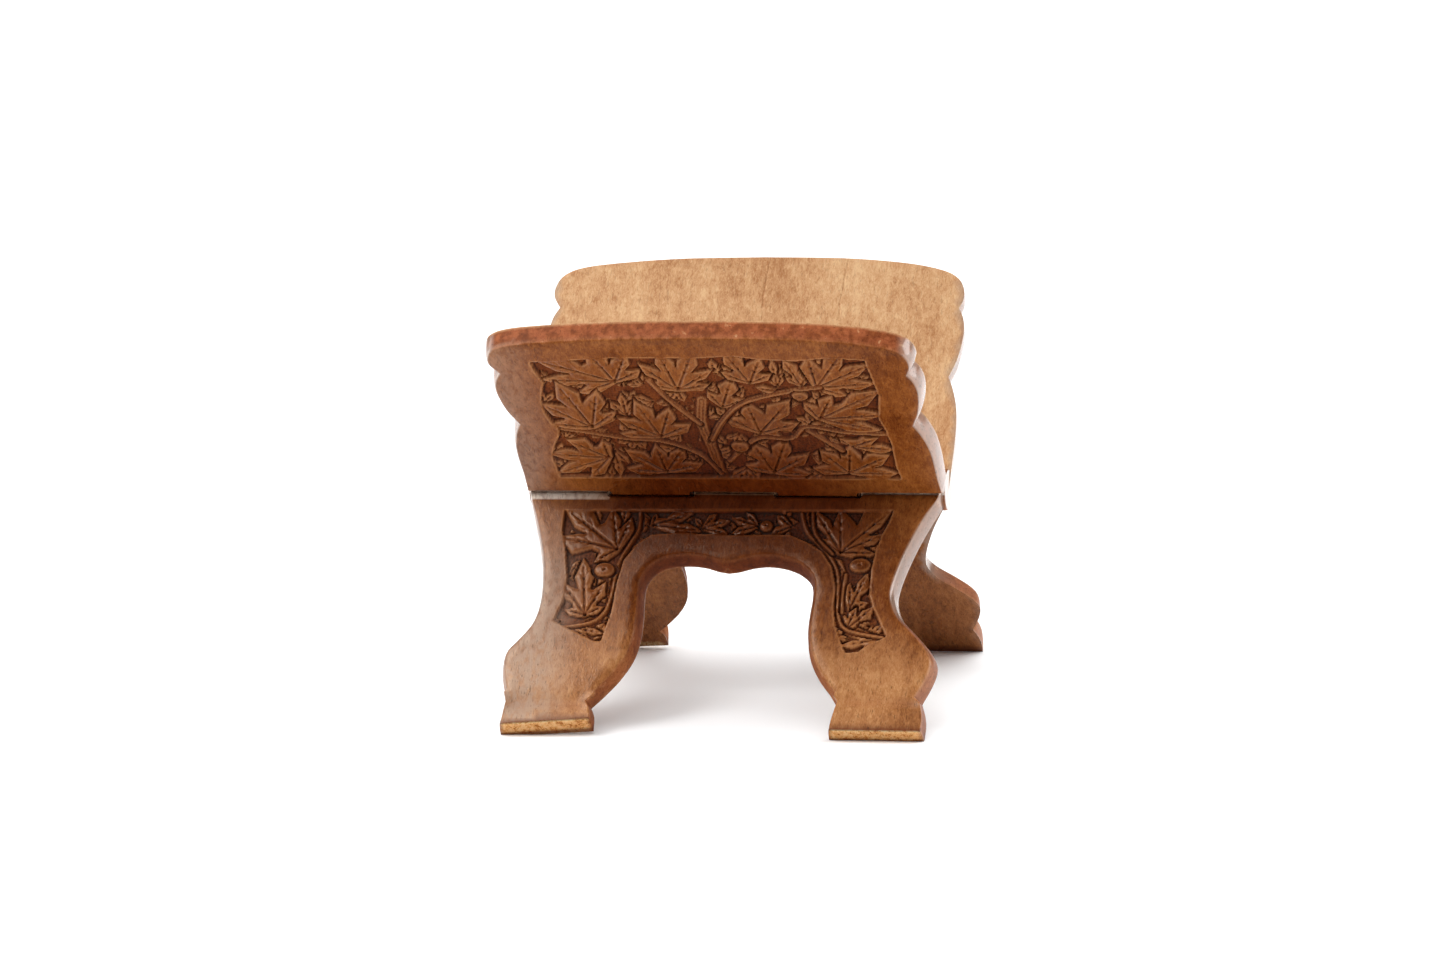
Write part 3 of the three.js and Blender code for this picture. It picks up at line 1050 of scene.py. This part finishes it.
def finish_mesh(piece, opening, first):
    """Stores the masks and the place on the plank, and moves the mesh to its place."""
    mesh = piece.data
    mesh.update()
    co = vectors(mesh.vertices, "co")
    plank = swing(co, -opening)
    normals = swing(vectors(mesh.vertex_normals, "vector"), -opening)
    ends = np.empty(2 * len(mesh.edges), int)
    mesh.edges.foreach_get("vertices", ends)
    for name, value in masks(plank, normals, ends.reshape(-1, 2).T, first).items():
        layer = mesh.attributes.new(name, "FLOAT", "POINT")
        layer.data.foreach_set("value", value.astype(np.float32))
    layer = mesh.attributes.new("plank", "FLOAT_VECTOR", "POINT")
    layer.data.foreach_set("vector", (plank * MM).astype(np.float32).ravel())
    placed = (co + HINGE) * MM
    mesh.vertices.foreach_set("co", placed.astype(np.float32).ravel())
    mesh.polygons.foreach_set("use_smooth", np.ones(len(mesh.polygons), bool))
    mesh.set_sharp_from_angle(angle=SHARP_ANGLE)
    mesh.update()


# --- wood ---

def connect(tree, node, key, value):
    """Sets a socket to a value, or links it to another node's socket."""
    if isinstance(value, bpy.types.NodeSocket):
        tree.links.new(value, node.inputs[key])
    else:
        node.inputs[key].default_value = value


def add(tree, kind, inputs=None, **settings):
    """Adds a shader node. inputs maps a socket to a value or to another node's socket."""
    node = tree.nodes.new("ShaderNode" + kind)
    for key, value in settings.items():
        setattr(node, key, value)
    for key, value in (inputs or {}).items():
        connect(tree, node, key, value)
    return node


def noise(tree, place, scale, detail, distortion=0.0):
    """Noise stretched along the grain: scale is in waves per metre for x, n and s."""
    stretched = add(tree, "Mapping", {"Vector": place, "Scale": scale})
    return add(tree, "TexNoise", {"Vector": stretched.outputs[0], "Scale": 1.0,
                                  "Detail": detail, "Distortion": distortion}).outputs[0]


def mix(tree, factor, a, b, mode="MIX"):
    node = add(tree, "Mix", data_type="RGBA", blend_type=mode)
    for key, value in ((0, factor), (6, a), (7, b)):
        connect(tree, node, key, value)
    return node.outputs[2]


def reach(tree, value, low, high, to_low=0.0, to_high=1.0):
    """Maps low..high to to_low..to_high, smoothly and clamped."""
    node = add(tree, "MapRange", {"Value": value, "From Min": low, "From Max": high,
                                  "To Min": to_low, "To Max": to_high},
               interpolation_type="SMOOTHSTEP")
    return node.outputs[0]


def arithmetic(tree, operation, a, b):
    return add(tree, "Math", {0: a, 1: b}, operation=operation).outputs[0]


def times(tree, a, b):
    return arithmetic(tree, "MULTIPLY", a, b)


def plus(tree, a, b):
    return arithmetic(tree, "ADD", a, b)


def ramp(tree, value, stops):
    node = add(tree, "ValToRGB", {"Fac": value})
    elements = node.color_ramp.elements
    for _ in range(len(stops) - 2):
        elements.new(0.5)
    for element, (place, colour) in zip(elements, stops):
        element.position = place
        element.color = (*colour, 1)
    return node.outputs[0]


def attribute(tree, name):
    return add(tree, "Attribute", attribute_name=name)


def wood_grain(tree, place):
    """The noises that make the figure, from broad blotches to fine fibres."""
    grain = {
        "streak": noise(tree, place, (170, 60, 14), 5, 0.8),
        "fine": noise(tree, place, (1150, 900, 480), 4, 1.2),
        "blotch": noise(tree, place, (34, 34, 22), 5, 0.6),
        "mottle": noise(tree, place, (330, 330, 190), 5, 0.4),
        "wear": noise(tree, place, (230, 230, 110), 5),
        "pores": noise(tree, place, (1700, 1000, 330), 2),
    }
    long_figure = plus(tree, times(tree, grain["streak"], 0.14), times(tree, grain["fine"], 0.36))
    short_figure = plus(tree, times(tree, grain["mottle"], 0.26), times(tree, grain["blotch"], 0.24))
    grain["figure"] = plus(tree, long_figure, short_figure)
    grain["end_figure"] = plus(tree, times(tree, grain["fine"], 0.5),
                               times(tree, grain["mottle"], 0.5))
    return grain


def layered_wood(tree, mask, grain):
    """The varnished colour under all that lies over it, with the open pores on top."""
    colour = ramp(tree, grain["figure"], VARNISHED)
    for name, share, over, mode in LAYERS:
        if isinstance(share, tuple):
            share = reach(tree, grain[share[0]], *share[1:])
        if isinstance(over, list):
            over = ramp(tree, grain["end_figure" if name == "end_grain" else "figure"], over)
        colour = mix(tree, times(tree, mask[name], share), colour, over, mode)
    pores = reach(tree, grain["pores"], 0.30, 0.39, 0.55, 1.0)
    open_pores = arithmetic(tree, "SUBTRACT", 1.0, times(tree, mask["inner"], 0.5))
    return mix(tree, open_pores, colour, pores, "MULTIPLY")


def wood(name, offset):
    """Dark varnished wood, worn paler by use, bare on the inner faces and raw on the foot ends, with
    painted shade in the cuts and in the fold and painted light on the lower legs, the foot ends, the
    ridges and the sides.
    offset moves the grain, so that the two boards don't look alike."""
    material = bpy.data.materials.new(name)
    material.use_nodes = True
    tree = material.node_tree
    tree.nodes.clear()
    place = add(tree, "Mapping", {"Vector": attribute(tree, "plank").outputs["Vector"],
                                  "Location": offset}).outputs[0]
    names = dict.fromkeys(name for name, *_ in LAYERS)
    mask = {name: attribute(tree, name).outputs["Fac"] for name in names}
    grain = wood_grain(tree, place)
    colour = layered_wood(tree, mask, grain)
    roughness = plus(tree, reach(tree, grain["blotch"], 0.3, 0.7, 0.24, 0.32),
                     times(tree, mask["recess"], 0.40))
    roughness = plus(tree, roughness, times(tree, mask["inner"], 0.14))
    surface = plus(tree, times(tree, grain["streak"], 0.6),
                   plus(tree, grain["fine"], times(tree, grain["wear"], 0.5)))
    bump = add(tree, "Bump", {"Height": surface, "Strength": 0.22, "Distance": 0.0005})
    shader = add(tree, "BsdfPrincipled",
                 {"Base Color": colour, "Roughness": roughness, "Normal": bump.outputs[0],
                  "IOR": 1.5, "Specular IOR Level": 0.14, "Specular Tint": (1.0, 0.80, 0.62, 1),
                  "Coat Weight": mask["glaze_and_painted_sheen"], "Coat Roughness": 0.16, "Coat IOR": 1.7})
    add(tree, "OutputMaterial", {"Surface": shader.outputs[0]})
    return material


# --- setting ---

def floor():
    """A large sheet of pale paper under the stand."""
    paper = bpy.data.materials.new("floor_paper")
    paper.use_nodes = True
    shader = paper.node_tree.nodes["Principled BSDF"]
    shader.inputs["Base Color"].default_value = (0.94, 0.955, 0.965, 1)
    shader.inputs["Roughness"].default_value = 0.9
    side = 12.0
    mesh = bpy.data.meshes.new("floor")
    mesh.from_pydata([(-side, -side, 0), (side, -side, 0), (side, side, 0), (-side, side, 0)],
                     [], [(0, 1, 2, 3)])
    piece = new_object("floor", mesh)
    mesh.materials.append(paper)


def softbox(name, place, target, size, power, diffuse=True, glossy=True):
    """A soft lamp at place, turned to its target. The last two say what it lights."""
    light = bpy.data.lights.new(name, "AREA")
    light.shape = "RECTANGLE"
    light.size, light.size_y = size
    light.energy = power
    lamp = new_object(name, light)
    lamp.location = place
    direction = Vector(target) - Vector(place)
    lamp.rotation_euler = direction.to_track_quat("-Z", "Y").to_euler()
    lamp.visible_camera = False
    lamp.visible_diffuse = diffuse
    lamp.visible_glossy = glossy


def white_room():
    """An even white surrounding, darker on the camera's side and not seen in the varnish."""
    world = bpy.data.worlds.new("studio")
    world.use_nodes = True
    tree = world.node_tree
    background = tree.nodes["Background"]
    background.inputs[0].default_value = (1.0, 0.99, 0.98, 1)
    way = add(tree, "SeparateXYZ", {0: add(tree, "TexCoord").outputs["Generated"]})
    tree.links.new(reach(tree, way.outputs[1], -0.5, 0.5, 0.26, 0.9), background.inputs[1])
    bpy.context.scene.world = world
    world.cycles_visibility.glossy = False


def ceiling():
    """A very soft light from above, not seen in the varnish."""
    light = bpy.data.lights.new("ceiling", "SUN")
    light.energy = 3.05
    light.angle = math.radians(85)
    new_object("ceiling", light).visible_glossy = False


def studio():
    """A white room with a soft ceiling, a key light, a panel on each side and a small sheen
    light that is only seen in the varnish."""
    white_room()
    ceiling()
    middle = (0, 0, 0.08)
    softbox("key", (-0.75, -0.55, 1.15), middle, (0.6, 0.6), 7, glossy=False)
    softbox("sheen", (-0.42, -0.32, 0.55), (-0.1, -0.06, 0.03), (0.30, 0.36), 7, diffuse=False)
    softbox("left_panel", (-1.4, 0.0, 0.45), middle, (0.9, 0.8), 5)
    softbox("right_panel", (1.5, 0.3, 0.5), middle, (0.8, 0.9), 10)


def camera():
    """The camera, turned and raised about the hinge, then rolled and slid in its own plane."""
    data = bpy.data.cameras.new("camera")
    data.sensor_width = 36
    data.lens = CAMERA_LENS
    data.clip_end = 60
    back = Vector((math.sin(CAMERA_TURN) * math.cos(CAMERA_HEIGHT),
                   -math.cos(CAMERA_TURN) * math.cos(CAMERA_HEIGHT), math.sin(CAMERA_HEIGHT)))
    level = Vector((math.cos(CAMERA_TURN), math.sin(CAMERA_TURN), 0))
    upright = back.cross(level)
    right = level * math.cos(CAMERA_ROLL) + upright * math.sin(CAMERA_ROLL)
    up = upright * math.cos(CAMERA_ROLL) - level * math.sin(CAMERA_ROLL)
    spot = Vector(HINGE * MM) + back * CAMERA_DISTANCE
    spot += right * CAMERA_SLIDE[0] + up * CAMERA_SLIDE[1]
    view = new_object("camera", data)
    view.matrix_world = Matrix.Translation(spot) @ Matrix((right, up, back)).transposed().to_4x4()
    bpy.context.scene.camera = view


camera()
front_board = leaf_of_stand("front_board", -1, 1)
front_board.data.materials.clear()
front_board.data.materials.append(wood("front_board_wood", (0.0, 0.0, 0.0)))
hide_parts("two_knuckle_board")
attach(front_board, "two_knuckle_board")

rear_board = leaf_of_stand("rear_board", 1, 0)
rear_board.data.materials.clear()
rear_board.data.materials.append(wood("rear_board_wood", (0.37, 0.21, 0.53)))
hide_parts("three_knuckle_board")
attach(rear_board, "three_knuckle_board")

floor()
studio()
bpy.context.scene.view_settings.view_transform = "Standard"
